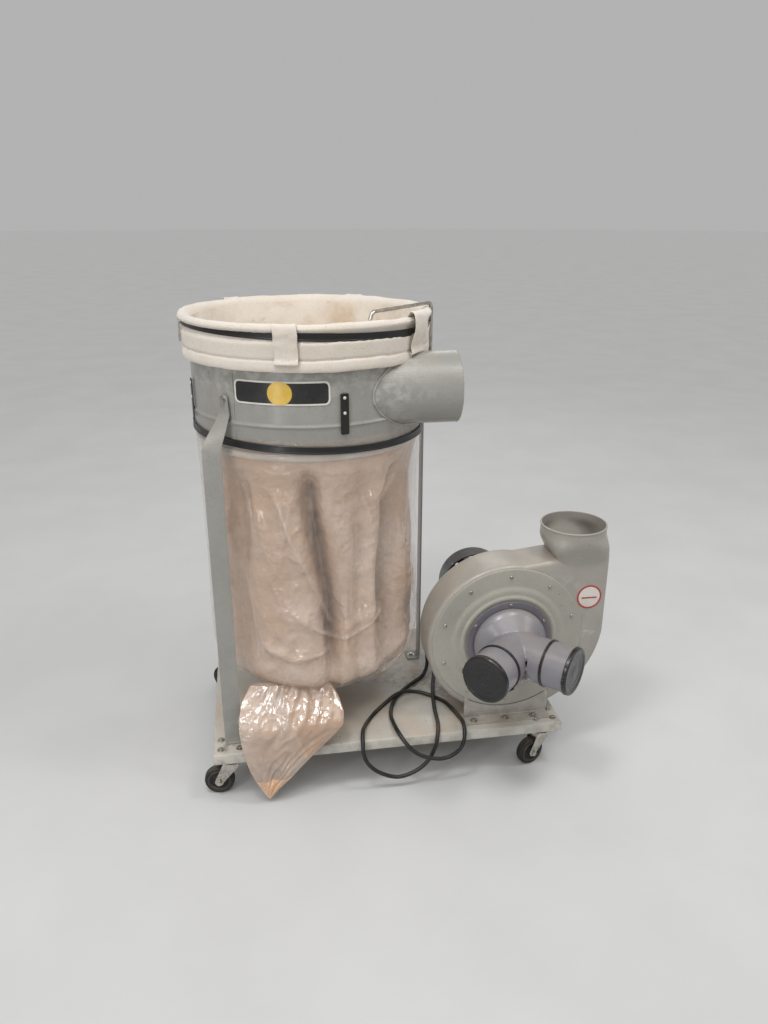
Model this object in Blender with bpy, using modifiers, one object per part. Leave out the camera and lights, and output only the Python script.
"""A wheeled single-stage dust collector: a blower with a double inlet, and a bag drum on three legs.

Metres, +Z up, +X to the blower's side, -Y to the front. The model is laid out from the front left
corner of the base, and moved at the end so that it stands centred on the origin.
"""

from math import cos, pi, radians, sin

import bmesh
import bpy
from mathutils import Matrix, Vector

GAP = 0.0003  # between pieces that touch
SMOOTH_ANGLE = radians(35)
THROUGH = 0.02  # how far a cutter runs past what it cuts
DRUM_SIDES = 36  # shared by all that sits on the drum, so that flats lie on flats
PORT_SIDES = 24
MOTOR_SIDES = 28
COVER_SIDES = 36

# Base
BASE_LENGTH = 0.814
BASE_WIDTH = 0.500
DECK_Z = 0.126
BASE_SHEET = 0.0025
SKIRT_HEIGHT = 0.025
RETURN_FLANGE = 0.062
BASE_CORNER = 0.004

# Casters
WHEEL_DIAMETER = 0.068
WHEEL_WIDTH = 0.022
WHEEL_HUB_RADIUS = 0.011
FORK_SHEET = 0.0025
FORK_CLEARANCE = 0.0022
CASTER_TRAIL = 0.030
CASTER_INSET = 0.038
CASTER_PLATE = (0.060, 0.052, 0.003)
RACEWAY_RADIUS = 0.021
RACEWAY_HEIGHT = 0.012
AXLE_RADIUS = 0.004
CASTERS = {  # corner: (side in x, side in y, swivel in degrees at rest)
    "front_left": (-1, -1, 176),
    "front_right": (1, -1, 200),
    "rear_left": (-1, 1, 150),
    "rear_right": (1, 1, 168),
}

# Drum and its stand
DRUM_RADIUS = 0.250
DRUM_EDGE_GAP = 0.006  # from the base's left end to the drum
DRUM_X = DRUM_RADIUS + DRUM_EDGE_GAP
DRUM_Y = BASE_WIDTH / 2
DRUM_SHEET = 0.0025
DRUM_BOTTOM = 0.803
DRUM_HEIGHT = 0.252
DRUM_TOP = DRUM_BOTTOM + DRUM_HEIGHT
DRUM_BEAD = 0.0025
DRUM_BEAD_Z = DRUM_BOTTOM + 0.066
LEG_WIDTH = 0.038
LEG_SHEET = 0.0035
LEG_FOOT = 0.032
LEG_TOP_Z = DRUM_BOTTOM + 0.017
LEG_TAB_LOW = DRUM_BEAD_Z + 0.017
LEG_TAB_HIGH = LEG_TAB_LOW + 0.050
LEG_STANDOFF = DRUM_RADIUS + 0.047  # from the drum's axis
LEGS = {  # name: (bearing from the drum's axis, direction that the strip faces), degrees
    "leg_front_left": (-135, -90),
    "leg_rear_left": (135, 90),
    "leg_right": (20, 0),
}
INLET_RADIUS = 0.0742
INLET_SHEET = 0.002
INLET_OFFSET = DRUM_RADIUS - INLET_RADIUS - 0.027  # in front of the drum's axis
INLET_Y = DRUM_Y - INLET_OFFSET
INLET_Z = DRUM_BOTTOM + 0.1161
INLET_END_X = DRUM_X + DRUM_RADIUS + 0.0475
STRAP_BEARINGS = {"front": -78, "left": -168, "rear": 102, "right": 10}
STRAP_WIDTH = 0.017
STRAP_LENGTH = 0.082
STRAP_SHEET = 0.002
STRAP_TOP_Z = DRUM_BEAD_Z + 0.065

# Bags and the belt clamps on them
FILM = 0.0015
FILM_TOP = DRUM_BOTTOM + 0.040
BAG_RADIUS = DRUM_RADIUS + GAP + FILM
BAG_BOTTOM = 0.205
BELT_HEIGHT = 0.0155
BELT_SHEET = 0.002
BELT_TILT = radians(2.1)
BELT_CLEARANCE = 0.0010  # room for the belt's tilt
LOWER_BELT_Z = DRUM_BOTTOM + 0.0195
UPPER_BELT_Z = DRUM_TOP - 0.011
CLOTH = 0.0117  # the band's felt, folded over
CLOTH_RADIUS = DRUM_RADIUS + GAP + CLOTH
CLOTH_HEM_Z = DRUM_TOP - 0.077
CLOTH_TOP = DRUM_TOP + 0.011
CLOTH_LINER_RADIUS = DRUM_RADIUS - 0.006
CLOTH_LINER_Z = DRUM_TOP - 0.110
CORNER_STANDOFF = 0.0195  # of the bag's corner, in front of the base
CORNER_HALF_DEPTH = 0.013
LUG_SIZE = (0.006, 0.010, 0.010)
WIRE_RADIUS = 0.0015
LATCH_WIDTH = 0.018
LATCH_LENGTH = 0.042
UPPER_LATCH_BEARING = -170
LOWER_LATCH_BEARING = 150

# Bag support rod
ROD_RADIUS = 0.0040
ROD_SOCKET_RADIUS = 0.0085
ROD_SOCKET_HEIGHT = 0.050
ROD_SOCKET_FLOOR = 0.004
ROD_BEARING = -3.8  # round the drum
ROD_STANDOFF = DRUM_RADIUS + 0.0216
ROD_X = DRUM_X + ROD_STANDOFF * cos(radians(ROD_BEARING))
ROD_Y = DRUM_Y + ROD_STANDOFF * sin(radians(ROD_BEARING))
ROD_TOP = DRUM_TOP + 0.0205
ROD_BOTTOM = DRUM_TOP - 0.163
ROD_REACH = 0.2087
ROD_HEADING = 222.9  # degrees

# Blower
BLOWER_X = DRUM_X + DRUM_RADIUS + 0.178
BLOWER_Z = DECK_Z + 0.207
BLOWER_FRONT_Y = 0.0515
BLOWER_SHEET = 0.0025
SCROLL_DEPTH = 0.104
SCROLL_START_RADIUS = 0.184
SCROLL_END_RADIUS = 0.234
SCROLL_START = 80  # degrees, at the cutoff
SCROLL_GROWTH = 2.5
SCROLL_ROUNDING = 0.010
COVER_OPENING = 0.150
COVER_RADIUS = 0.178
COVER_SHEET = 0.003
COVER_EMBOSS_RADIUS = 0.134
COVER_EMBOSS = 0.004
INLET_HOLE_RADIUS = 0.072
OUTLET_RADIUS = 0.0745
OUTLET_X = SCROLL_END_RADIUS - 0.075
NECK_START_Z = SCROLL_START_RADIUS + 0.006  # above the blower's axis
NECK_ROUND_Z = NECK_START_Z + 0.038
OUTLET_TOP_Z = NECK_ROUND_Z + 0.031
BRACKET_SHEET = 0.003
BRACKET_WIDTH = 0.204
BRACKET_SHIFT = 0.004  # to the right of the blower's axis
BRACKET_FOOT = 0.031
BRACKET_TOP = DECK_Z + 0.070
BRACKET_COVER_GAP = 0.0012
BRACKET_MOTOR_GAP = 0.012

# Y inlet
WYE_FLANGE_RADIUS = 0.100
WYE_FLANGE = 0.004
WYE_RING_RADIUS = 0.084
WYE_RING = 0.010
WYE_WALL = 0.003
PORT_RADIUS = 0.0510
PORT_LENGTH = 0.1390
PORT_ANGLE = radians(45)
PORT_WEB = 0.0035
WYE_JUNCTION = PORT_RADIUS + 0.009  # in front of the blower's front wall
BAND_AT = 0.080
BAND_WIDTH = 0.006
BAND_SHEET = 0.0022
CAP_WALL = 0.0022
CAP_DEPTH = 0.018
TETHER_WIDTH = 0.009

# Rotor and motor
IMPELLER_RADIUS = 0.142
IMPELLER_PLATE = 0.003
IMPELLER_HEIGHT = 0.062
IMPELLER_BLADES = 8
IMPELLER_HUB = 0.020
IMPELLER_BACK_GAP = 0.006
SHAFT_RADIUS = 0.008
MOTOR_RADIUS = 0.0830
MOTOR_SHEET = 0.003
MOTOR_LENGTH = 0.165
MOTOR_STANDOFF = 0.010  # from the scroll's back wall to the motor's front bell
BELL_PLATE = 0.006
BELL_SPIGOT = 0.005
BELL_DEPTH = 0.016
BEARING_RADIUS = 0.0175
BEARING_WIDTH = 0.011
STATOR_INNER = 0.046
STATOR_LENGTH = 0.080
ROTOR_AIR_GAP = 0.001
COWL_RADIUS = MOTOR_RADIUS + 0.005
COWL_DEPTH = 0.060
COWL_WALL = 0.0025
COWL_SLOTS = 8
FAN_RADIUS = MOTOR_RADIUS - 0.015
FAN_DEPTH = 0.022
FAN_HUB = 0.018
FAN_BLADES = 6
SWITCH_BOX = (0.058, 0.036, 0.082)
SWITCH_BEARING = 52  # degrees round the motor
ROCKER = (0.014, 0.007, 0.024)
ROCKER_GAP = 0.0008
ROCKER_CROWN = 0.013

# Power cord
CORD_RADIUS = 0.0047
GLAND_LENGTH = 0.030
GLAND_BEARING = 205  # degrees round the motor, seen from the front
GLAND_SHARE = 0.80
CORD_COIL_RADIUS = 0.052
CORD_COIL_TURNS = 2
COIL_CENTRE = (0.660, 0.425)
PLUG = (0.026, 0.022, 0.036)
PLUG_AHEAD = 0.055
CORD_ROUTE = [
    (0.554, 0.294, 0.264),
    (0.544, 0.289, 0.225),
    (0.545, 0.283, 0.175),
    (0.541, 0.264, 0.141),
    (0.521, 0.237, 0.1318),
    (0.488, 0.208, 0.1310),
    (0.455, 0.174, 0.1310),
    (0.429, 0.132, 0.1310),
    (0.416, 0.085, 0.1312),
    (0.416, 0.040, 0.1365),
    (0.421, 0.000, 0.1385),
    (0.436, -0.020, 0.120),
    (0.458, -0.024, 0.097),
    (0.490, -0.024, 0.080),
    (0.528, -0.020, 0.072),
    (0.556, -0.020, 0.088),
    (0.573, -0.018, 0.113),
    (0.5765, 0.000, 0.136),
    (0.5755, 0.032, 0.1375),
    (0.569, 0.075, 0.1320),
    (0.555, 0.118, 0.1310),
    (0.526, 0.150, 0.1315),
    (0.490, 0.165, 0.1365),
    (0.450, 0.158, 0.1415),
    (0.412, 0.133, 0.1345),
    (0.380, 0.100, 0.1310),
    (0.355, 0.062, 0.1320),
    (0.340, 0.022, 0.1380),
    (0.334, -0.013, 0.130),
    (0.336, -0.020, 0.102),
    (0.352, -0.018, 0.068),
    (0.382, -0.016, 0.042),
    (0.420, -0.015, 0.029),
    (0.460, -0.013, 0.040),
    (0.488, -0.010, 0.062),
    (0.502, -0.009, 0.090),
    (0.509, -0.0095, 0.114),
    (0.512, -0.0065, 0.1305),
    (0.515, 0.006, 0.1405),
    (0.518, 0.040, 0.1420),
    (0.522, 0.080, 0.1370),
    (0.527, 0.120, 0.1390),
    (0.533, 0.152, 0.1425),
    (0.541, 0.190, 0.1360),
    (0.552, 0.230, 0.1310),
    (0.562, 0.270, 0.1310),
    (0.570, 0.310, 0.1310),
    (0.576, 0.350, 0.1310),
    (0.5825, 0.390, 0.1310),
    (0.5925, 0.424, 0.1310),
]

PARTS = "dust_collector"
CUTTERS = "cutters"
CORD_NODES = ("cord_gland", "cord_lead", "cord_coil", "cord_tail", "power_plug")

FACE_FRONT = Matrix.Rotation(pi / 2, 4, "X")  # local +Z looks to the front, local +Y looks up
ALONG_X = Matrix.Rotation(pi / 2, 4, "Y")
UPRIGHT = Matrix.Identity(4)


# --------------------------------------------------------------------------- scene and materials


def clear_scene():
    for old in list(bpy.data.objects):
        bpy.data.objects.remove(old, do_unlink=True)


def new_collection(name, hidden=False):
    made = bpy.data.collections.new(name)
    bpy.context.scene.collection.children.link(made)
    made.hide_render = hidden
    return made


def material(name, colour, roughness, metallic=0.0):
    made = bpy.data.materials.new(name)
    made.use_nodes = True
    shader = made.node_tree.nodes["Principled BSDF"]
    shader.inputs["Base Color"].default_value = (*colour, 1.0)
    shader.inputs["Roughness"].default_value = roughness
    shader.inputs["Metallic"].default_value = metallic
    made.diffuse_color = (*colour, 1.0)
    return made


def make_materials():
    return {
        "grey_paint": material("grey_paint", (0.24, 0.235, 0.215), 0.5, 0.1),
        "base_paint": material("base_paint", (0.50, 0.47, 0.43), 0.55, 0.1),
        "blower_paint": material("blower_paint", (0.27, 0.255, 0.225), 0.45, 0.1),
        "purple_plastic": material("purple_plastic", (0.22, 0.21, 0.235), 0.4),
        "black_plastic": material("black_plastic", (0.012, 0.012, 0.013), 0.5),
        "black_rubber": material("black_rubber", (0.02, 0.02, 0.02), 0.8),
        "black_strap": material("black_strap", (0.010, 0.010, 0.011), 0.6),
        "zinc": material("zinc", (0.62, 0.60, 0.56), 0.35, 1.0),
        "steel": material("steel", (0.55, 0.55, 0.56), 0.3, 1.0),
        "cast_aluminium": material("cast_aluminium", (0.45, 0.45, 0.46), 0.5, 1.0),
        "lamination": material("lamination", (0.20, 0.17, 0.15), 0.6, 0.8),
        "felt": material("felt", (0.66, 0.60, 0.52), 0.95),
        "film": material("film", (0.55, 0.38, 0.26), 0.25),
    }


class Shop:
    """Where new pieces go: the collections, the materials and the object's root."""

    def __init__(self):
        self.parts = new_collection(PARTS)
        self.cutters = new_collection(CUTTERS, hidden=True)
        self.materials = make_materials()
        self.root = self.empty("dust_collector_root", Matrix.Identity(4), None)

    def empty(self, name, place, parent):
        made = bpy.data.objects.new(name, None)
        self.parts.objects.link(made)
        made.parent = parent
        made.matrix_local = place
        return made

    def add(self, name, mesh, finish, place=UPRIGHT, parent=None):
        """A part made of this mesh, or a cutter when it has no finish."""
        made = bpy.data.objects.new(name, mesh)
        made.parent = parent or self.root
        made.matrix_local = place
        if finish is None:
            self.cutters.objects.link(made)
            made.hide_render = True
            made.display_type = "WIRE"
        else:
            self.parts.objects.link(made)
            mesh.materials.clear()
            mesh.materials.append(self.materials[finish])
        return made


def at(x, y, z):
    return Matrix.Translation((x, y, z))


def turn(axis, angle):
    return Matrix.Rotation(angle, 4, axis)


def polar(radius, bearing):
    """A point on a circle, with the bearing in degrees."""
    return radius * cos(radians(bearing)), radius * sin(radians(bearing))


# --------------------------------------------------------------------------- shapes


def finish_mesh(mesh):
    mesh.shade_smooth()
    mesh.set_sharp_from_angle(angle=SMOOTH_ANGLE)
    return mesh


def mesh_from(work, name):
    bmesh.ops.recalc_face_normals(work, faces=work.faces)
    mesh = bpy.data.meshes.new(name)
    work.to_mesh(mesh)
    work.free()
    return finish_mesh(mesh)


def box_mesh(name, size, centre=(0, 0, 0)):
    work = bmesh.new()
    bmesh.ops.create_cube(work, size=1.0)
    bmesh.ops.scale(work, vec=size, verts=work.verts)
    bmesh.ops.translate(work, vec=centre, verts=work.verts)
    return mesh_from(work, name)


def cylinder_mesh(name, radius, low, high, sides=32, top_radius=None):
    """A cylinder or cone along Z, from low to high."""
    work = bmesh.new()
    bmesh.ops.create_cone(
        work,
        cap_ends=True,
        segments=sides,
        radius1=radius,
        radius2=radius if top_radius is None else top_radius,
        depth=high - low,
    )
    bmesh.ops.translate(work, vec=(0, 0, (high + low) / 2), verts=work.verts)
    return mesh_from(work, name)


def profile_mesh(name, points, closed):
    """A profile in the XZ plane for a Screw modifier, turned the way that makes the solid face out."""
    area = sum(a[0] * b[1] - b[0] * a[1] for a, b in zip(points, [*points[1:], points[0]]))
    if area > 0:
        points = points[::-1]
    work = bmesh.new()
    row = [work.verts.new((x, 0, z)) for x, z in points]
    for first, second in zip(row, row[1:]):
        work.edges.new((first, second))
    if closed:
        work.edges.new((row[-1], row[0]))
    mesh = bpy.data.meshes.new(name)
    work.to_mesh(mesh)
    work.free()
    return mesh


def spin(obj, sides):
    """Turns the object's profile round its local Z."""
    screw = obj.modifiers.new("turned", "SCREW")
    screw.axis = "Z"
    screw.angle = 2 * pi
    screw.steps = sides
    screw.render_steps = sides
    screw.use_merge_vertices = True
    screw.merge_threshold = 0.00002
    screw.use_smooth_shade = True
    return obj


def outline_mesh(name, outline, low, high):
    """A flat outline in XY given thickness along Z, as a welded mesh."""
    curve = bpy.data.curves.new(name, "CURVE")
    curve.dimensions = "2D"
    curve.fill_mode = "BOTH"
    curve.extrude = (high - low) / 2
    line = curve.splines.new("POLY")
    line.points.add(len(outline) - 1)
    for point, (x, y) in zip(line.points, outline):
        point.co = (x, y, 0, 1)
    line.use_cyclic_u = True
    holder = bpy.data.objects.new(name + "_outline", curve)
    bpy.context.scene.collection.objects.link(holder)
    bpy.context.view_layer.update()
    raw = bpy.data.meshes.new_from_object(holder.evaluated_get(bpy.context.evaluated_depsgraph_get()))
    bpy.data.objects.remove(holder, do_unlink=True)
    work = bmesh.new()
    work.from_mesh(raw)
    bpy.data.meshes.remove(raw)
    bmesh.ops.remove_doubles(work, verts=work.verts, dist=0.00001)
    bmesh.ops.translate(work, vec=(0, 0, (high + low) / 2), verts=work.verts)
    return mesh_from(work, name)


def loft_mesh(name, rings):
    """A closed skin over rings of equally many points, with a cap on each end."""
    work = bmesh.new()
    rows = [[work.verts.new(point) for point in ring] for ring in rings]
    for low, high in zip(rows, rows[1:]):
        for i in range(len(low)):
            j = (i + 1) % len(low)
            work.faces.new((low[i], low[j], high[j], high[i]))
    work.faces.new(rows[0][::-1])
    work.faces.new(rows[-1])
    bmesh.ops.triangulate(work, faces=[face for face in work.faces if len(face.verts) == 4])
    return mesh_from(work, name)


def combine(target, other, operation):
    modifier = target.modifiers.new(operation.lower(), "BOOLEAN")
    modifier.operation = operation
    modifier.object = other
    modifier.solver = "EXACT"
    return target


def cut(target, *cutters):
    for cutter in cutters:
        combine(target, cutter, "DIFFERENCE")
    return target


def join(target, *others):
    for other in others:
        combine(target, other, "UNION")
    return target


def round_edges(obj, width, segments=2, angle=radians(50)):
    bevel = obj.modifiers.new("rounded", "BEVEL")
    bevel.width = width
    bevel.segments = segments
    bevel.limit_method = "ANGLE"
    bevel.angle_limit = angle
    return obj


def smooth_points(points, spacing):
    """Points at about this spacing on a smooth curve through the given ones (Catmull-Rom)."""
    knots = [Vector(point) for point in points]
    knots = [2 * knots[0] - knots[1], *knots, 2 * knots[-1] - knots[-2]]
    dense = []
    for a, b, c, d in zip(knots, knots[1:], knots[2:], knots[3:]):
        for i in range(24):
            t = i / 24
            dense.append(
                0.5 * (2 * b + (c - a) * t + (2 * a - 5 * b + 4 * c - d) * t**2 + (3 * b - a - 3 * c + d) * t**3)
            )
    dense.append(knots[-2])
    lengths = [0.0]
    for first, second in zip(dense, dense[1:]):
        lengths.append(lengths[-1] + (second - first).length)
    count = max(2, round(lengths[-1] / spacing))
    placed = []
    index = 0
    for i in range(count + 1):
        wanted = lengths[-1] * i / count
        while index < len(dense) - 2 and lengths[index + 1] < wanted:
            index += 1
        part = (wanted - lengths[index]) / (lengths[index + 1] - lengths[index])
        placed.append(dense[index].lerp(dense[index + 1], min(part, 1.0)))
    return placed


def wire(shop, name, points, radius, finish, place=UPRIGHT, parent=None, sides=2):
    """A round bar along the points, as a curve with filled caps."""
    curve = bpy.data.curves.new(name, "CURVE")
    curve.dimensions = "3D"
    curve.bevel_depth = radius
    curve.bevel_resolution = sides
    curve.use_fill_caps = True
    line = curve.splines.new("POLY")
    line.points.add(len(points) - 1)
    for point, co in zip(line.points, points):
        point.co = (*co, 1)
    made = bpy.data.objects.new(name, curve)
    shop.parts.objects.link(made)
    made.parent = parent or shop.root
    made.matrix_local = place
    curve.materials.append(shop.materials[finish])
    return made


# --------------------------------------------------------------------------- base and casters


def make_base(shop):
    """A folded tray: deck, skirt, and a flange turned in under it that the casters bolt to."""
    middle = (BASE_LENGTH / 2, BASE_WIDTH / 2, DECK_Z - SKIRT_HEIGHT / 2)
    base = shop.add("base_plate", box_mesh("base_plate", (BASE_LENGTH, BASE_WIDTH, SKIRT_HEIGHT), middle), "base_paint")
    round_edges(base, BASE_CORNER / 2, 2)
    inside = (BASE_LENGTH - 2 * BASE_SHEET, BASE_WIDTH - 2 * BASE_SHEET, SKIRT_HEIGHT - 2 * BASE_SHEET)
    room = shop.add("base_room", box_mesh("room", inside, middle), None)
    opening = (BASE_LENGTH - 2 * RETURN_FLANGE, BASE_WIDTH - 2 * RETURN_FLANGE, SKIRT_HEIGHT)
    window = shop.add("base_window", box_mesh("window", opening, (middle[0], middle[1], middle[2] - BASE_SHEET * 2)), None)
    return cut(base, join(room, window))


def make_caster(shop, corner, side_x, side_y, swivel):
    """One caster: its plate is fixed, the fork swivels under it, the wheel turns in the fork."""
    plate_x = BASE_LENGTH / 2 + side_x * (BASE_LENGTH / 2 - CASTER_INSET)
    plate_y = BASE_WIDTH / 2 + side_y * (BASE_WIDTH / 2 - CASTER_INSET)
    mount_z = DECK_Z - SKIRT_HEIGHT - GAP
    long, wide, thick = CASTER_PLATE
    name = "caster_plate_" + corner
    plate = shop.add(name, box_mesh(name, CASTER_PLATE, (0, 0, -thick / 2)), "zinc", at(plate_x, plate_y, mount_z))
    race = shop.add(
        name + "_race",
        cylinder_mesh("race", RACEWAY_RADIUS, -thick - RACEWAY_HEIGHT, -thick / 2, 24, RACEWAY_RADIUS * 0.92),
        None,
        at(plate_x, plate_y, mount_z),
    )
    join(plate, race)

    fork_top = mount_z - thick - RACEWAY_HEIGHT - GAP
    axle_z = WHEEL_DIAMETER / 2
    pivot = shop.empty("swivel_" + corner, at(plate_x, plate_y, fork_top) @ turn("Z", radians(swivel)), shop.root)
    drop = fork_top - axle_z
    half_width = WHEEL_WIDTH / 2 + FORK_CLEARANCE
    outer_half = half_width + FORK_SHEET
    lobe = 0.010
    outline = [(-0.017, 0), (0.019, 0), (CASTER_TRAIL + lobe * cos(0.35), -drop + lobe * sin(0.35))]
    for i in range(1, 7):
        angle = 0.35 - i * (pi + 0.25) / 6
        outline.append((CASTER_TRAIL + lobe * cos(angle), -drop + lobe * sin(angle)))
    outline.append((-0.017, -0.006))
    name = "caster_fork_" + corner
    fork = shop.add(name, outline_mesh(name, outline, -outer_half, outer_half), "zinc", FACE_FRONT, pivot)
    crown = FORK_SHEET + 0.0005
    slot = shop.add(
        name + "_slot",
        box_mesh("slot", (0.2, drop + 0.1, 2 * half_width), (0, -crown - (drop + 0.1) / 2, 0)),
        None,
        FACE_FRONT,
        pivot,
    )
    axle_place = at(CASTER_TRAIL, 0, -drop) @ FACE_FRONT
    bore = shop.add(
        name + "_bore",
        cylinder_mesh("bore", AXLE_RADIUS + GAP, -outer_half - THROUGH, outer_half + THROUGH, 12),
        None,
        axle_place,
        pivot,
    )
    cut(fork, slot, bore)

    name = "caster_axle_" + corner
    head_radius, head = 0.0075, 0.004
    end = outer_half + GAP
    profile = [(0, end + head), (head_radius, end + head), (head_radius, end), (AXLE_RADIUS, end)]
    profile += [(AXLE_RADIUS, -end), (head_radius, -end), (head_radius, -end - head), (0, -end - head)]
    spin(shop.add(name, profile_mesh(name, profile, False), "steel", axle_place, pivot), 12)

    name = "caster_wheel_" + corner
    rim, half = WHEEL_DIAMETER / 2, WHEEL_WIDTH / 2
    profile = [
        (AXLE_RADIUS + GAP, half),
        (WHEEL_HUB_RADIUS, half),
        (WHEEL_HUB_RADIUS + 0.002, half - 0.005),
        (rim - 0.010, half - 0.005),
        (rim - 0.005, half),
        (rim, half - 0.005),
    ]
    profile += [(x, -z) for x, z in reversed(profile)]
    spin(shop.add(name, profile_mesh(name, profile, True), "black_rubber", axle_place, pivot), 20)


# --------------------------------------------------------------------------- drum and stand


def ring_profile(inner, outer, low, high):
    return [(outer, high), (outer, low), (inner, low), (inner, high)]


def make_ring(shop, name, inner, outer, low, high, finish, place, sides=64, parent=None):
    mesh = profile_mesh(name, ring_profile(inner, outer, low, high), True)
    return spin(shop.add(name, mesh, finish, place, parent), sides)


def make_drum(shop):
    axis = at(DRUM_X, DRUM_Y, 0)
    inner = DRUM_RADIUS - DRUM_SHEET
    profile = [
        (DRUM_RADIUS, DRUM_TOP),
        (DRUM_RADIUS, DRUM_BEAD_Z + 0.004),
        (DRUM_RADIUS + DRUM_BEAD, DRUM_BEAD_Z),
        (DRUM_RADIUS, DRUM_BEAD_Z - 0.004),
        (DRUM_RADIUS, DRUM_BOTTOM),
        (inner, DRUM_BOTTOM),
        (inner, DRUM_TOP),
    ]
    drum = spin(
        shop.add("separator_drum", profile_mesh("separator_drum", profile, True), "grey_paint", axis), DRUM_SIDES
    )
    inlet_place = at(DRUM_X, INLET_Y, INLET_Z) @ ALONG_X
    reach = INLET_END_X - DRUM_X
    passage = shop.add(
        "inlet_passage",
        cylinder_mesh("inlet_passage", INLET_RADIUS - INLET_SHEET, 0.02, reach, 32),
        None,
        inlet_place,
    )
    cut(drum, passage)

    core = shop.add(
        "drum_core",
        cylinder_mesh("drum_core", DRUM_RADIUS + GAP, DRUM_BOTTOM - THROUGH, DRUM_TOP + THROUGH, DRUM_SIDES),
        None,
        axis,
    )
    tube = make_ring(
        shop, "inlet_tube", INLET_RADIUS - INLET_SHEET, INLET_RADIUS, 0.02, reach, "grey_paint", inlet_place, 32
    )
    bead_clear = DRUM_RADIUS + DRUM_BEAD + GAP
    bead = spin(
        shop.add(
            "drum_bead_room",
            profile_mesh(
                "drum_bead_room",
                [
                    (bead_clear, DRUM_BEAD_Z + 0.005),
                    (bead_clear, DRUM_BEAD_Z - 0.005),
                    (DRUM_RADIUS - 0.005, DRUM_BEAD_Z - 0.005),
                    (DRUM_RADIUS - 0.005, DRUM_BEAD_Z + 0.005),
                ],
                True,
            ),
            None,
            axis,
        ),
        DRUM_SIDES,
    )
    return cut(tube, core, bead)


def leg_section(centre, facing, width, thickness):
    """Four corners of a strip that faces this way (degrees), level, round the centre."""
    out = Vector((cos(radians(facing)), sin(radians(facing)), 0))
    along = Vector((-out.y, out.x, 0))
    half, deep = along * width / 2, out * thickness / 2
    centre = Vector(centre)
    return [centre - half - deep, centre + half - deep, centre + half + deep, centre - half + deep]


def make_leg(shop, name, bearing, facing):
    """A flat strip: foot on the deck, upright, twisted shoulder to the drum, tab on the drum."""
    stand = polar(LEG_STANDOFF, bearing)
    low = (DRUM_X + stand[0], DRUM_Y + stand[1])
    tab_radius = DRUM_RADIUS + DRUM_BEAD + GAP + LEG_SHEET / 2 + 0.0007
    tab = polar(tab_radius, bearing)
    high = (DRUM_X + tab[0], DRUM_Y + tab[1])
    deck = DECK_Z + GAP
    rings = [
        leg_section((*low, deck), facing, LEG_WIDTH, LEG_SHEET),
        leg_section((*low, LEG_TOP_Z), facing, LEG_WIDTH, LEG_SHEET),
        leg_section((*high, LEG_TAB_LOW), bearing, LEG_WIDTH * 0.8, LEG_SHEET),
        leg_section((*high, LEG_TAB_HIGH), bearing, LEG_WIDTH * 0.8, LEG_SHEET),
    ]
    leg = shop.add(name, loft_mesh(name, rings), "grey_paint")
    inward = facing + 180
    foot_middle = polar(LEG_FOOT / 2, inward)
    foot = shop.add(
        name + "_foot",
        box_mesh("foot", (LEG_FOOT, LEG_WIDTH, LEG_SHEET), (0, 0, LEG_SHEET / 2)),
        None,
        at(low[0] + foot_middle[0], low[1] + foot_middle[1], deck) @ turn("Z", radians(inward)),
    )
    return join(leg, foot)


def make_strap(shop, side, bearing):
    """A short plastic strap riveted to the drum, which keeps the lower belt up when it is slack."""
    name = "belt_strap_" + side
    radius = DRUM_RADIUS + DRUM_BEAD + GAP + STRAP_SHEET / 2 + 0.0002
    x, y = polar(radius, bearing)
    size = (STRAP_SHEET, STRAP_WIDTH, STRAP_LENGTH)
    place = at(DRUM_X + x, DRUM_Y + y, STRAP_TOP_Z - STRAP_LENGTH / 2) @ turn("Z", radians(bearing))
    return shop.add(name, box_mesh(name, size), "black_strap", place)


# --------------------------------------------------------------------------- bags and clamps


def make_filter_bag(shop):
    """Cloth: a band round the drum's top, over the rim, and the bag let down inside the drum."""
    liner = CLOTH_LINER_RADIUS
    floor_z = CLOTH_LINER_Z
    drum_inner = DRUM_RADIUS - DRUM_SHEET - GAP
    drum_outer = DRUM_RADIUS + GAP
    rim = DRUM_TOP + GAP
    profile = [
        (0, floor_z - 0.045),
        (liner * 0.7, floor_z - 0.035),
        (liner - 0.018, floor_z),
        (liner - 0.005, CLOTH_TOP - 0.020),
        (liner + 0.001, CLOTH_TOP - 0.004),
        (liner + 0.007, CLOTH_TOP),
        (CLOTH_RADIUS - 0.006, CLOTH_TOP - 0.001),
        (CLOTH_RADIUS - 0.001, CLOTH_TOP - 0.006),
        (CLOTH_RADIUS, CLOTH_TOP - 0.040),
        (CLOTH_RADIUS, CLOTH_HEM_Z),
        (drum_outer, CLOTH_HEM_Z),
        (drum_outer, rim),
        (drum_inner, rim),
        (liner, floor_z + 0.040),
        (liner - 0.010, floor_z - 0.008),
        (liner * 0.7 + 0.002, floor_z - 0.041),
        (0, floor_z - 0.051),
    ]
    axis = at(DRUM_X, DRUM_Y, 0)
    bag = spin(shop.add("filter_bag", profile_mesh("filter_bag", profile, False), "felt", axis), DRUM_SIDES)
    room = shop.add(
        "inlet_room",
        cylinder_mesh("inlet_room", INLET_RADIUS + 2 * GAP, 0.10, INLET_END_X - DRUM_X + THROUGH, 32),
        None,
        at(DRUM_X, INLET_Y, INLET_Z) @ ALONG_X,
    )
    kept = shop.add(
        "liner_side",
        cylinder_mesh("liner_side", DRUM_RADIUS - DRUM_SHEET / 2, 0.5, CLOTH_TOP + THROUGH, DRUM_SIDES),
        None,
        axis,
    )
    return cut(bag, cut(room, kept))


def oval(x, y, z, half_width, half_depth, points=14):
    return [
        (x + half_width * cos(2 * pi * i / points), y + half_depth * sin(2 * pi * i / points), z)
        for i in range(points)
    ]


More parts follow.
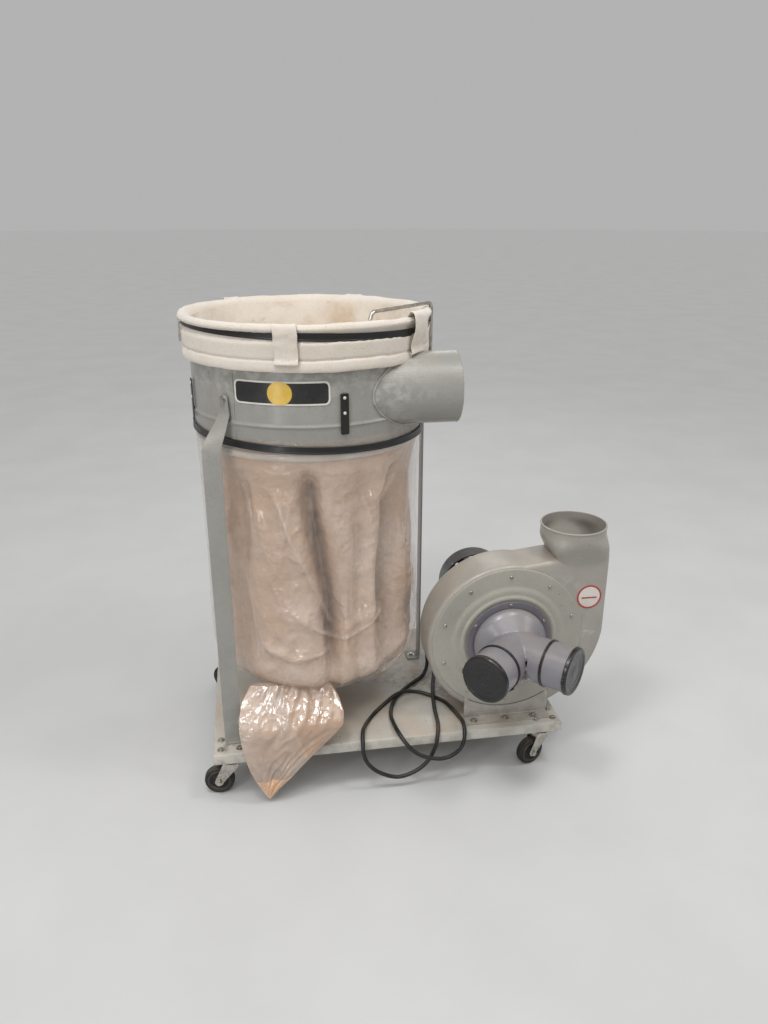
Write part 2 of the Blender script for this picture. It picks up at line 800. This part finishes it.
def make_collection_bag(shop):
    """Plastic film: a tube round the drum's bottom, a sagging floor, and a corner over the deck's edge."""
    inner_top = DRUM_RADIUS + GAP
    outer_top = inner_top + FILM
    side = [
        (outer_top, DRUM_BOTTOM - 0.002),
        (BAG_RADIUS + 0.001, DRUM_BOTTOM - 0.103),
        (BAG_RADIUS + 0.002, (DRUM_BOTTOM + BAG_BOTTOM) / 2),
        (BAG_RADIUS - 0.002, BAG_BOTTOM + 0.115),
        (BAG_RADIUS - 0.014, BAG_BOTTOM + 0.057),
        (BAG_RADIUS - 0.050, BAG_BOTTOM + 0.020),
        (BAG_RADIUS / 2, BAG_BOTTOM + 0.006),
    ]
    shoulder = BAG_BOTTOM + 0.1
    inside = [(x - FILM, z + (FILM if z < shoulder else 0)) for x, z in reversed(side)]
    profile = [(0, BAG_BOTTOM + FILM), *inside, (inner_top, FILM_TOP)]
    profile += [(outer_top, FILM_TOP), *side, (0, BAG_BOTTOM)]
    bag = spin(
        shop.add("collection_bag", profile_mesh("collection_bag", profile, False), "film", at(DRUM_X, DRUM_Y, 0)), DRUM_SIDES
    )
    front = -CORNER_STANDOFF
    rings = [
        oval(0.175, 0.035, BAG_BOTTOM + 0.057, 0.090, 0.040),
        oval(0.180, 0.004, BAG_BOTTOM + 0.020, 0.098, 0.030),
        oval(0.170, front + 0.001, (BAG_BOTTOM + DECK_Z) / 2 + 0.0045, 0.088, 0.014),
        oval(0.153, front, DECK_Z, 0.072, CORNER_HALF_DEPTH),
        oval(0.138, front, DECK_Z - 0.046, 0.050, CORNER_HALF_DEPTH),
        oval(0.124, front, 0.032, 0.016, 0.008),
        oval(0.121, front, 0.012, 0.004, 0.003),
    ]
    corner = shop.add("bag_corner", loft_mesh("bag_corner", rings), None)
    return join(bag, corner)


def make_belt(shop, name, cloth_radius, z, bearing):
    """A band clamp, slightly askew on the drum, with a wire bail that hangs from a lug."""
    inner = cloth_radius + BELT_CLEARANCE
    outer = inner + BELT_SHEET
    place = at(DRUM_X, DRUM_Y, z) @ turn("Y", BELT_TILT)
    half = BELT_HEIGHT / 2
    belt = make_ring(shop, name + "_clamp", inner, outer, -half, half, "black_strap", place, DRUM_SIDES)
    reach = LUG_SIZE[0]
    lug_place = place @ turn("Z", radians(bearing)) @ at(outer - 0.0005, 0, 0)
    lug = shop.add(name + "_lug", box_mesh("lug", LUG_SIZE, (reach / 2, 0, 0)), None, lug_place)
    join(belt, lug)
    pivot = shop.empty(name + "_latch_pivot", lug_place @ at(reach / 2, 0, 0), shop.root)
    bore = shop.add(
        name + "_lug_bore",
        cylinder_mesh("lug_bore", WIRE_RADIUS + GAP, -LUG_SIZE[1], LUG_SIZE[1], 12),
        None,
        FACE_FRONT,
        pivot,
    )
    cut(belt, bore)
    half_width = LATCH_WIDTH / 2
    corner = WIRE_RADIUS * 2
    points = []
    for x_side, z_side, start in ((1, 0, 0), (-1, 0, 90), (-1, -1, 180), (1, -1, 270)):
        cx = x_side * (half_width - corner)
        cz = -corner if z_side == 0 else -LATCH_LENGTH + corner
        for step in range(3):
            angle = radians(start + 45 * step)
            points.append((0, cx + corner * cos(angle), cz + corner * sin(angle)))
    bail = wire(shop, name + "_latch", points, WIRE_RADIUS, "zinc", UPRIGHT, pivot, 1)
    bail.data.splines[0].use_cyclic_u = True
    return belt


def make_support_rod(shop):
    """The bent rod that the filter bag hangs from, let down into its socket on the drum."""
    corner = 0.013
    top = ROD_TOP - (ROD_BOTTOM + ROD_SOCKET_FLOOR + GAP)
    points = [(0, 0, 0), (0, 0, top - corner)]
    for step in range(1, 7):
        angle = step * pi / 12
        points.append((corner * (1 - cos(angle)), 0, top - corner + corner * sin(angle)))
    points.append((ROD_REACH - corner, 0, top))
    for step in range(1, 5):
        angle = step * pi / 12
        points.append((ROD_REACH - corner + corner * sin(angle), 0, top - corner * (1 - cos(angle))))
    last = Vector(points[-1])
    points.append(last + Vector((cos(pi / 3), 0, -sin(pi / 3))) * 0.012)
    place = at(ROD_X, ROD_Y, ROD_BOTTOM + ROD_SOCKET_FLOOR + GAP) @ turn("Z", radians(ROD_HEADING))
    wire(shop, "bag_support_rod", points, ROD_RADIUS, "zinc", place, sides=3)

    low, high = 0, ROD_SOCKET_HEIGHT
    place = at(ROD_X, ROD_Y, ROD_BOTTOM)
    socket = shop.add(
        "rod_socket", cylinder_mesh("rod_socket", ROD_SOCKET_RADIUS, low, high, 24), "grey_paint", place
    )
    inward = radians(ROD_BEARING + 180)
    gap_to_drum = ROD_STANDOFF - DRUM_RADIUS - 4 * GAP
    web = shop.add(
        "rod_socket_web",
        box_mesh("web", (gap_to_drum, 0.010, high - low), (gap_to_drum / 2, 0, high / 2)),
        None,
        place @ turn("Z", inward),
    )
    bore = shop.add(
        "rod_socket_bore",
        cylinder_mesh("bore", ROD_RADIUS + GAP, ROD_SOCKET_FLOOR, high + THROUGH, 16),
        None,
        place,
    )
    return cut(join(socket, web), bore)


# --------------------------------------------------------------------------- blower


def scroll_outline(inset):
    """The scroll seen from the front: a growing spiral, then straight up to the outlet neck."""
    points = []
    for step in range(29):
        share = step / 28
        angle = radians(SCROLL_START + (360 - SCROLL_START) * share)
        radius = SCROLL_START_RADIUS + (SCROLL_END_RADIUS - SCROLL_START_RADIUS) * share**SCROLL_GROWTH - inset
        points.append((radius * cos(angle), radius * sin(angle)))
    right = SCROLL_END_RADIUS - inset
    top = NECK_START_Z - inset
    return points + [(right, top), (OUTLET_X - OUTLET_RADIUS * 0.62 + inset, top)]


def squircle(centre_x, centre_z, height, half_x, half_z, power, points=28):
    """A level ring that is round at power 2 and nearly a rectangle at a high power."""
    ring = []
    for i in range(points):
        angle = 2 * pi * (i + 0.5) / points
        c, s = cos(angle), sin(angle)
        x = abs(c) ** (2 / power) * (1 if c > 0 else -1)
        z = abs(s) ** (2 / power) * (1 if s > 0 else -1)
        ring.append((centre_x + half_x * x, height, centre_z - half_z * z))
    return ring


def neck_rings(inset, overrun):
    """The neck from the scroll's rectangular mouth to the round outlet."""
    left = OUTLET_X - OUTLET_RADIUS * 0.62
    right = SCROLL_END_RADIUS
    middle_z = -SCROLL_DEPTH / 2
    low = NECK_START_Z - 0.020
    rings = []
    for step in range(5):
        share = step / 4
        ease = share * share * (3 - 2 * share)
        centre = (left + right) / 2 * (1 - ease) + OUTLET_X * ease
        half_x = (right - left) / 2 * (1 - ease) + OUTLET_RADIUS * ease - inset
        half_z = SCROLL_DEPTH / 2 * (1 - ease) + OUTLET_RADIUS * ease - inset
        power = 7 * (1 - ease) + 2 * ease
        rings.append(squircle(centre, middle_z, low + (NECK_ROUND_Z - low) * share, half_x, half_z, power))
    round_half = OUTLET_RADIUS - inset
    rings.append(squircle(OUTLET_X, middle_z, OUTLET_TOP_Z + overrun, round_half, round_half, 2))
    return rings


def make_volute(shop, blower):
    name = "volute_housing"
    housing = shop.add(name, outline_mesh(name, scroll_outline(0), -SCROLL_DEPTH, 0), "blower_paint", UPRIGHT, blower)
    round_edges(housing, SCROLL_ROUNDING, 2)
    inside = shop.add(
        "volute_inside",
        outline_mesh("inside", scroll_outline(BLOWER_SHEET), -SCROLL_DEPTH + BLOWER_SHEET, -BLOWER_SHEET),
        None,
        UPRIGHT,
        blower,
    )
    round_edges(inside, SCROLL_ROUNDING - BLOWER_SHEET, 1)
    neck = shop.add("volute_neck", loft_mesh("neck", neck_rings(0, 0)), None, UPRIGHT, blower)
    bore = shop.add("volute_neck_bore", loft_mesh("neck_bore", neck_rings(BLOWER_SHEET, THROUGH)), None, UPRIGHT, blower)
    mouth = shop.add(
        "volute_mouth", cylinder_mesh("mouth", COVER_OPENING, -0.02, THROUGH, COVER_SIDES), None, UPRIGHT, blower
    )
    shaft_hole = shop.add(
        "volute_shaft_hole",
        cylinder_mesh("shaft_hole", SHAFT_RADIUS * 2, -SCROLL_DEPTH - THROUGH, -SCROLL_DEPTH + 0.02, 24),
        None,
        UPRIGHT,
        blower,
    )
    return cut(join(housing, neck), inside, bore, mouth, shaft_hole)


def make_cover(shop, blower):
    """The round front cover, pressed with a raised ring round the inlet."""
    back = GAP
    front = GAP + COVER_SHEET
    raised = front + COVER_EMBOSS
    emboss = COVER_EMBOSS_RADIUS
    profile = [
        (INLET_HOLE_RADIUS, raised),
        (WYE_FLANGE_RADIUS + 0.002, raised),
        (WYE_FLANGE_RADIUS + 0.006, raised + 0.003),
        (WYE_FLANGE_RADIUS + 0.011, raised + 0.003),
        (emboss - 0.010, raised),
        (emboss, front),
        (COVER_RADIUS, front),
        (COVER_RADIUS, back),
        (emboss - 0.002, back),
        (emboss - 0.014, back + COVER_EMBOSS),
        (INLET_HOLE_RADIUS, back + COVER_EMBOSS),
    ]
    return spin(
        shop.add("front_cover", profile_mesh("front_cover", profile, True), "blower_paint", UPRIGHT, blower), COVER_SIDES
    )


def make_brackets(shop, blower):
    """Two folded brackets: the front one shares the cover's plane, the rear one backs the scroll."""
    deck = DECK_Z + GAP - BLOWER_Z
    top = BRACKET_TOP - BLOWER_Z
    half = BRACKET_WIDTH / 2
    for name, low, high, toward in (
        ("blower_bracket_front", GAP, GAP + BRACKET_SHEET, 1),
        ("blower_bracket_rear", -SCROLL_DEPTH - GAP - BRACKET_SHEET, -SCROLL_DEPTH - GAP, -1),
    ):
        upright = box_mesh(name, (2 * half, top - deck, high - low), (BRACKET_SHIFT, (top + deck) / 2, (low + high) / 2))
        bracket = shop.add(name, upright, "blower_paint", UPRIGHT, blower)
        start = low if toward > 0 else high
        foot = shop.add(
            name + "_foot",
            box_mesh("foot", (2 * half, BRACKET_SHEET, BRACKET_FOOT), (BRACKET_SHIFT, deck + BRACKET_SHEET / 2, 0)),
            None,
            at(0, 0, start + toward * BRACKET_FOOT / 2),
            blower,
        )
        join(bracket, foot)
        room_radius = COVER_RADIUS + BRACKET_COVER_GAP if toward > 0 else MOTOR_RADIUS + BRACKET_MOTOR_GAP
        room = shop.add(
            name + "_room",
            cylinder_mesh("room", room_radius, low - THROUGH, high + THROUGH, COVER_SIDES),
            None,
            UPRIGHT,
            blower,
        )
        cut(bracket, room)


def port_place(side):
    """The frame of one port: +Z runs out along the port from the junction."""
    return at(0, 0, WYE_JUNCTION) @ turn("Y", side * PORT_ANGLE)


def make_wye(shop, blower):
    """The plastic Y inlet: flange, ring, a dome that splits into two ports, and a web in the crotch."""
    seat = GAP + COVER_SHEET + COVER_EMBOSS + GAP
    profile = [
        (0, WYE_JUNCTION + PORT_RADIUS * 0.55),
        (PORT_RADIUS * 0.55, WYE_JUNCTION + PORT_RADIUS * 0.42),
        (PORT_RADIUS, WYE_JUNCTION),
        (WYE_RING_RADIUS - 0.004, seat + WYE_FLANGE + WYE_RING + 0.014),
        (WYE_RING_RADIUS, seat + WYE_FLANGE + WYE_RING),
        (WYE_RING_RADIUS, seat + WYE_FLANGE),
        (WYE_FLANGE_RADIUS, seat + WYE_FLANGE),
        (WYE_FLANGE_RADIUS, seat),
        (0, seat),
    ]
    wye = spin(shop.add("inlet_wye", profile_mesh("inlet_wye", profile, False), "purple_plastic", UPRIGHT, blower), PORT_SIDES)
    hollow_profile = [
        (0, WYE_JUNCTION + PORT_RADIUS * 0.55 - WYE_WALL),
        (PORT_RADIUS * 0.5, WYE_JUNCTION + PORT_RADIUS * 0.36),
        (PORT_RADIUS - WYE_WALL, WYE_JUNCTION - WYE_WALL),
        (WYE_RING_RADIUS - 0.004 - WYE_WALL, seat + WYE_FLANGE + WYE_RING + 0.008),
        (INLET_HOLE_RADIUS, seat + WYE_FLANGE + 0.006),
        (INLET_HOLE_RADIUS, seat - THROUGH),
        (0, seat - THROUGH),
    ]
    hollow = spin(shop.add("wye_hollow", profile_mesh("wye_hollow", hollow_profile, False), None, UPRIGHT, blower), PORT_SIDES)
    tubes, bores = [], []
    for side in (-1, 1):
        tubes.append(
            shop.add("port_tube", cylinder_mesh("tube", PORT_RADIUS, -0.010, PORT_LENGTH, PORT_SIDES), None, port_place(side), blower)
        )
        bores.append(
            shop.add(
                "port_bore",
                cylinder_mesh("bore", PORT_RADIUS - WYE_WALL, -0.006, PORT_LENGTH + THROUGH, PORT_SIDES),
                None,
                port_place(side),
                blower,
            )
        )
    web_drop = PORT_RADIUS * 0.55
    crotch = WYE_JUNCTION + (PORT_RADIUS**2 - web_drop**2) ** 0.5 / sin(PORT_ANGLE)
    web = shop.add(
        "port_web",
        box_mesh("web", (0.036, PORT_WEB, 0.028), (0, -web_drop, crotch + 0.002)),
        None,
        UPRIGHT,
        blower,
    )
    web_hole = shop.add(
        "port_web_hole",
        cylinder_mesh("web_hole", 0.0035, -PORT_RADIUS, PORT_RADIUS, 12),
        None,
        at(0, 0, crotch + 0.009) @ FACE_FRONT,
        blower,
    )
    return cut(join(wye, *tubes, web), hollow, web_hole, *bores)


def make_ports(shop, blower):
    """The caps of the two ports, and the band and strap that keeps each cap with its port."""
    for side, word in ((-1, "left"), (1, "right")):
        place = port_place(side)
        inner = PORT_RADIUS + GAP
        outer = inner + CAP_WALL
        end = PORT_LENGTH + GAP
        profile = [
            (0, end + CAP_WALL),
            (PORT_RADIUS * 0.78, end + CAP_WALL),
            (PORT_RADIUS * 0.82, end + CAP_WALL + 0.002),
            (outer - 0.001, end + CAP_WALL + 0.002),
            (outer, end + CAP_WALL),
            (outer, end - CAP_DEPTH),
            (inner, end - CAP_DEPTH),
            (inner, end),
            (0, end),
        ]
        name = f"port_cap_{word}"
        spin(shop.add(name, profile_mesh(name, profile, False), "black_plastic", place, blower), PORT_SIDES)
        name = f"cap_tether_{word}"
        band = make_ring(
            shop, name, inner, inner + BAND_SHEET, BAND_AT, BAND_AT + BAND_WIDTH, "black_plastic", place, PORT_SIDES, blower
        )
        run = end - CAP_DEPTH - GAP - BAND_AT - BAND_WIDTH / 2
        strap = shop.add(
            name + "_strap",
            box_mesh(
                "strap",
                (TETHER_WIDTH, BAND_SHEET - 0.0006, run),
                (0, -inner - BAND_SHEET / 2 - 0.0002, BAND_AT + BAND_WIDTH / 2 + run / 2),
            ),
            None,
            place,
            blower,
        )
        join(band, strap)


# --------------------------------------------------------------------------- rotor and motor


def make_rotor(shop, blower):
    """The impeller, the shaft and the motor's cooling fan, which all turn together."""
    back = -SCROLL_DEPTH + BLOWER_SHEET + IMPELLER_BACK_GAP
    axis = shop.empty("rotor_axis", UPRIGHT, blower)
    name = "impeller"
    profile = [
        (0, back + IMPELLER_PLATE + 0.022),
        (IMPELLER_HUB - 0.003, back + IMPELLER_PLATE + 0.022),
        (IMPELLER_HUB, back + IMPELLER_PLATE + 0.018),
        (IMPELLER_HUB, back + IMPELLER_PLATE),
        (IMPELLER_RADIUS, back + IMPELLER_PLATE),
        (IMPELLER_RADIUS, back),
        (0, back),
    ]
    impeller = spin(shop.add(name, profile_mesh(name, profile, False), "grey_paint", UPRIGHT, axis), 32)
    blades = bmesh.new()
    for i in range(IMPELLER_BLADES):
        long = IMPELLER_RADIUS - 0.004 - (IMPELLER_HUB - 0.002)
        made = bmesh.ops.create_cube(blades, size=1.0)["verts"]
        bmesh.ops.scale(blades, vec=(long, 0.0025, IMPELLER_HEIGHT), verts=made)
        shift = at((IMPELLER_RADIUS - 0.004 + IMPELLER_HUB - 0.002) / 2, 0, back + 0.001 + IMPELLER_HEIGHT / 2)
        bmesh.ops.transform(blades, matrix=turn("Z", 2 * pi * i / IMPELLER_BLADES) @ shift, verts=made)
    cutter = shop.add("impeller_blades", mesh_from(blades, "impeller_blades"), None, UPRIGHT, axis)
    bore = shop.add(
        "impeller_bore",
        cylinder_mesh("bore", SHAFT_RADIUS + GAP, back - THROUGH, back + IMPELLER_PLATE + 0.014, 20),
        None,
        UPRIGHT,
        axis,
    )
    cut(join(impeller, cutter), bore)

    motor_back = -SCROLL_DEPTH - MOTOR_STANDOFF - MOTOR_LENGTH
    fan_low = motor_back - 2 * BELL_PLATE - FAN_DEPTH
    shaft = cylinder_mesh("rotor_shaft", SHAFT_RADIUS, fan_low + 0.002, back + IMPELLER_PLATE + 0.014 - GAP, 20)
    shaft_part = shop.add("rotor_shaft", shaft, "steel", UPRIGHT, axis)
    middle = -SCROLL_DEPTH - MOTOR_STANDOFF - MOTOR_LENGTH / 2
    core = shop.add(
        "rotor_core",
        cylinder_mesh("core", STATOR_INNER - ROTOR_AIR_GAP, middle - STATOR_LENGTH / 2, middle + STATOR_LENGTH / 2, 32),
        None,
        UPRIGHT,
        axis,
    )
    join(shaft_part, core)

    name = "cooling_fan"
    hub = [
        (0, fan_low + FAN_DEPTH),
        (FAN_HUB, fan_low + FAN_DEPTH),
        (FAN_HUB, fan_low + 0.003),
        (FAN_RADIUS * 0.6, fan_low + 0.003),
        (FAN_RADIUS * 0.6, fan_low),
        (0, fan_low),
    ]
    fan = spin(shop.add(name, profile_mesh(name, hub, False), "black_plastic", UPRIGHT, axis), 24)
    blades = bmesh.new()
    for i in range(FAN_BLADES):
        made = bmesh.ops.create_cube(blades, size=1.0)["verts"]
        bmesh.ops.scale(blades, vec=(FAN_RADIUS - FAN_HUB + 0.002, 0.002, FAN_DEPTH - 0.001), verts=made)
        shift = at((FAN_RADIUS + FAN_HUB - 0.002) / 2, 0, fan_low + 0.0005 + FAN_DEPTH / 2)
        bmesh.ops.transform(blades, matrix=turn("Z", 2 * pi * i / FAN_BLADES) @ shift, verts=made)
    cutter = shop.add("fan_blades", mesh_from(blades, "fan_blades"), None, UPRIGHT, axis)
    bore = shop.add(
        "fan_bore",
        cylinder_mesh("bore", SHAFT_RADIUS + GAP, fan_low + 0.002 - GAP, fan_low + FAN_DEPTH + THROUGH, 20),
        None,
        UPRIGHT,
        axis,
    )
    cut(join(fan, cutter), bore)


def make_motor(shop, blower):
    front = -SCROLL_DEPTH - MOTOR_STANDOFF
    back = front - MOTOR_LENGTH
    middle = (front + back) / 2
    inner = MOTOR_RADIUS - MOTOR_SHEET
    make_ring(
        shop, "motor_shell", inner, MOTOR_RADIUS, back + GAP, front - GAP, "black_plastic", UPRIGHT, MOTOR_SIDES, blower
    )
    make_ring(
        shop,
        "stator_core",
        STATOR_INNER,
        inner - GAP,
        middle - STATOR_LENGTH / 2,
        middle + STATOR_LENGTH / 2,
        "lamination",
        UPRIGHT,
        MOTOR_SIDES,
        blower,
    )
    for name, face, inward in (("motor_front_bell", front, -1), ("motor_rear_bell", back, 1)):
        plate, seat = BELL_PLATE, BELL_SPIGOT
        pocket = BEARING_RADIUS + GAP
        hole = SHAFT_RADIUS + 0.002
        rows = [
            (MOTOR_RADIUS, -plate),
            (MOTOR_RADIUS, 0),
            (inner - GAP, 0),
            (inner - GAP, seat),
            (inner - 0.005, seat),
            (inner - 0.005, 0),
            (BEARING_RADIUS + 0.006, 0),
            (BEARING_RADIUS + 0.006, BELL_DEPTH - plate),
            (pocket, BELL_DEPTH - plate),
            (pocket, BELL_DEPTH - plate - BEARING_WIDTH),
            (hole, BELL_DEPTH - plate - BEARING_WIDTH),
            (hole, -plate),
        ]
        sign = inward
        profile = [(x, face + sign * z) for x, z in rows]
        bell = shop.add(name, profile_mesh(name, profile, True), "cast_aluminium", UPRIGHT, blower)
        spin(bell, MOTOR_SIDES)
        word = "front" if inward < 0 else "rear"
        low = face + sign * (BELL_DEPTH - plate - BEARING_WIDTH + GAP)
        high = face + sign * (BELL_DEPTH - plate - 0.0005)
        make_ring(
            shop,
            "bearing_" + word,
            SHAFT_RADIUS + GAP,
            BEARING_RADIUS,
            min(low, high),
            max(low, high),
            "steel",
            UPRIGHT,
            24,
            blower,
        )

    rear = back - BELL_PLATE - GAP
    wall = COWL_WALL
    end = rear - COWL_DEPTH
    vent = 0.012
    profile = [
        (COWL_RADIUS, rear),
        (COWL_RADIUS, end + 0.010),
        (COWL_RADIUS - 0.010, end),
        (vent, end),
        (vent, end + wall),
        (COWL_RADIUS - 0.011, end + wall),
        (COWL_RADIUS - wall, end + 0.011),
        (COWL_RADIUS - wall, rear),
    ]
    cowl = shop.add("fan_cowl", profile_mesh("fan_cowl", profile, True), "black_plastic", UPRIGHT, blower)
    spin(cowl, MOTOR_SIDES)
    slots = bmesh.new()
    for i in range(COWL_SLOTS):
        made = bmesh.ops.create_cube(slots, size=1.0)["verts"]
        bmesh.ops.scale(slots, vec=(0.044, 0.009, 0.015), verts=made)
        shift = at(0.046, 0, end)
        bmesh.ops.transform(slots, matrix=turn("Z", 2 * pi * i / COWL_SLOTS) @ shift, verts=made)
    cut(cowl, shop.add("cowl_slots", mesh_from(slots, "cowl_slots"), None, UPRIGHT, blower))


def make_switch(shop, blower):
    """The switch box saddled on the motor's shoulder, with its rocker, and the cord's gland below it."""
    middle = -SCROLL_DEPTH - MOTOR_STANDOFF - MOTOR_LENGTH * 0.5
    place = turn("Z", radians(SWITCH_BEARING)) @ at(MOTOR_RADIUS + SWITCH_BOX[1] / 2 - 0.004, 0, middle)
    place = place @ turn("Z", -pi / 2)
    box = shop.add("switch_box", box_mesh("switch_box", SWITCH_BOX), "black_plastic", place, blower)
    round_edges(box, 0.003, 2)
    seat = shop.add(
        "switch_seat", cylinder_mesh("seat", MOTOR_RADIUS + GAP, middle - 0.1, middle + 0.1, MOTOR_SIDES), None, UPRIGHT, blower
    )
    face = SWITCH_BOX[1] / 2
    window = (ROCKER[0] + 2 * ROCKER_GAP, 0.016, ROCKER[2] + 2 * ROCKER_GAP)
    opening = shop.add("switch_window", box_mesh("window", window, (0, face, 0)), None, place, blower)
    cut(box, seat, opening)
    pivot = shop.empty("rocker_pivot", place @ at(0, face - 0.0005, 0), blower)
    rocker = shop.add("switch_rocker", box_mesh("switch_rocker", ROCKER, (0, 0.0008, 0)), "black_plastic", UPRIGHT, pivot)
    relief = shop.add(
        "rocker_relief",
        cylinder_mesh("relief", ROCKER_CROWN, -ROCKER[0], ROCKER[0], 24),
        None,
        ALONG_X @ UPRIGHT,
        pivot,
    )
    combine(rocker, relief, "INTERSECT")


def gland_place():
    """Where the cord leaves the motor: +Z of this frame points out of the shell."""
    angle = radians(GLAND_BEARING)
    depth = -SCROLL_DEPTH - MOTOR_STANDOFF - MOTOR_LENGTH * GLAND_SHARE
    reach = MOTOR_RADIUS + GAP
    return at(reach * cos(angle), reach * sin(angle), depth) @ turn("Z", angle) @ turn("Y", pi / 2)


def make_cord(shop, blower):
    """The power cord: gland, the loops over the deck's front edge, a coil kept behind the blower, the plug."""
    profile = [
        (CORD_RADIUS * 1.35, GLAND_LENGTH),
        (CORD_RADIUS * 1.9, GLAND_LENGTH * 0.45),
        (CORD_RADIUS * 2.4, 0.006),
        (CORD_RADIUS * 2.4, 0.0015),
        (CORD_RADIUS + GAP, 0.0015),
        (CORD_RADIUS + GAP, GLAND_LENGTH),
    ]
    gland = shop.add("cord_gland", profile_mesh("cord_gland", profile, True), "black_rubber", gland_place(), blower)
    spin(gland, 20)
    world = at(BLOWER_X, BLOWER_FRONT_Y, BLOWER_Z) @ FACE_FRONT @ gland_place()
    start = [world @ Vector((0, 0, GLAND_LENGTH * share)) for share in (0.10, 1.1, 1.3)]
    points = smooth_points([*start, *CORD_ROUTE], 3 * 2 * CORD_RADIUS)
    lowest = DECK_Z + GAP + CORD_RADIUS
    for point in points:
        if point.y > 0:
            point.z = max(point.z, lowest)
    wire(shop, "cord_lead", points, CORD_RADIUS, "black_rubber")

    low = DECK_Z + GAP
    inner = CORD_COIL_RADIUS - CORD_COIL_TURNS * CORD_RADIUS - GAP
    outer = CORD_COIL_RADIUS + CORD_COIL_TURNS * CORD_RADIUS + GAP
    make_ring(
        shop, "cord_coil", inner, outer, low, low + 2 * CORD_RADIUS + GAP, "black_rubber", at(*COIL_CENTRE, 0), 40
    )
    name = "power_plug"
    x, y = COIL_CENTRE
    side = outer + GAP + PLUG[0] / 2
    place = at(x - side, y + PLUG_AHEAD, low + PLUG[1] / 2)
    plug = shop.add(name, box_mesh(name, (PLUG[0], PLUG[2], PLUG[1])), "black_rubber", place)
    round_edges(plug, 0.004, 2)
    for blade_x in (-0.0063, 0.0063):
        blade = shop.add(
            "plug_blade",
            box_mesh("blade", (0.0016, 0.040, 0.0064), (blade_x, PLUG[2] / 2, 0.003)),
            None,
            place,
        )
        join(plug, blade)
    tail = [
        (x - outer - CORD_RADIUS - 2 * GAP, y + 0.004, low + CORD_RADIUS),
        (x - outer - CORD_RADIUS - 0.002, y + PLUG_AHEAD * 0.3, low + CORD_RADIUS + 0.001),
        (x - side, y + PLUG_AHEAD - PLUG[2] / 2 - 0.008, low + PLUG[1] / 2),
        (x - side, y + PLUG_AHEAD - PLUG[2] / 2 - 5 * GAP, low + PLUG[1] / 2),
    ]
    wire(shop, "cord_tail", smooth_points(tail, 0.012), CORD_RADIUS, "black_rubber")


# --------------------------------------------------------------------------- the whole machine


def centre_on_floor(shop):
    """Moves the root so that the box of the object, without its cord, stands centred on the origin."""
    bpy.context.view_layer.update()
    graph = bpy.context.evaluated_depsgraph_get()
    corners = []
    for part in shop.parts.objects:
        if part.type == "EMPTY" or part.name in CORD_NODES:
            continue
        evaluated = part.evaluated_get(graph)
        mesh = evaluated.to_mesh()
        corners += [evaluated.matrix_world @ vertex.co for vertex in mesh.vertices]
        evaluated.to_mesh_clear()
    low = [min(corner[axis] for corner in corners) for axis in range(3)]
    high = [max(corner[axis] for corner in corners) for axis in range(3)]
    shop.root.location = (-(low[0] + high[0]) / 2, -(low[1] + high[1]) / 2, -low[2])


def main():
    clear_scene()
    shop = Shop()
    make_base(shop)
    for corner, (side_x, side_y, swivel) in CASTERS.items():
        make_caster(shop, corner, side_x, side_y, swivel)

    make_drum(shop)
    for name, (bearing, facing) in LEGS.items():
        make_leg(shop, name, bearing, facing)
    for side, bearing in STRAP_BEARINGS.items():
        make_strap(shop, side, bearing)
    make_filter_bag(shop)
    make_collection_bag(shop)
    make_belt(shop, "upper_belt", CLOTH_RADIUS, UPPER_BELT_Z, UPPER_LATCH_BEARING)
    make_belt(shop, "lower_belt", DRUM_RADIUS + GAP + FILM, LOWER_BELT_Z, LOWER_LATCH_BEARING)
    make_support_rod(shop)

    blower = shop.empty("blower_axis", at(BLOWER_X, BLOWER_FRONT_Y, BLOWER_Z) @ FACE_FRONT, shop.root)
    make_volute(shop, blower)
    make_cover(shop, blower)
    make_brackets(shop, blower)
    make_wye(shop, blower)
    make_ports(shop, blower)
    make_rotor(shop, blower)
    make_motor(shop, blower)
    make_switch(shop, blower)
    make_cord(shop, blower)
    centre_on_floor(shop)


if __name__ == "__main__":
    main()
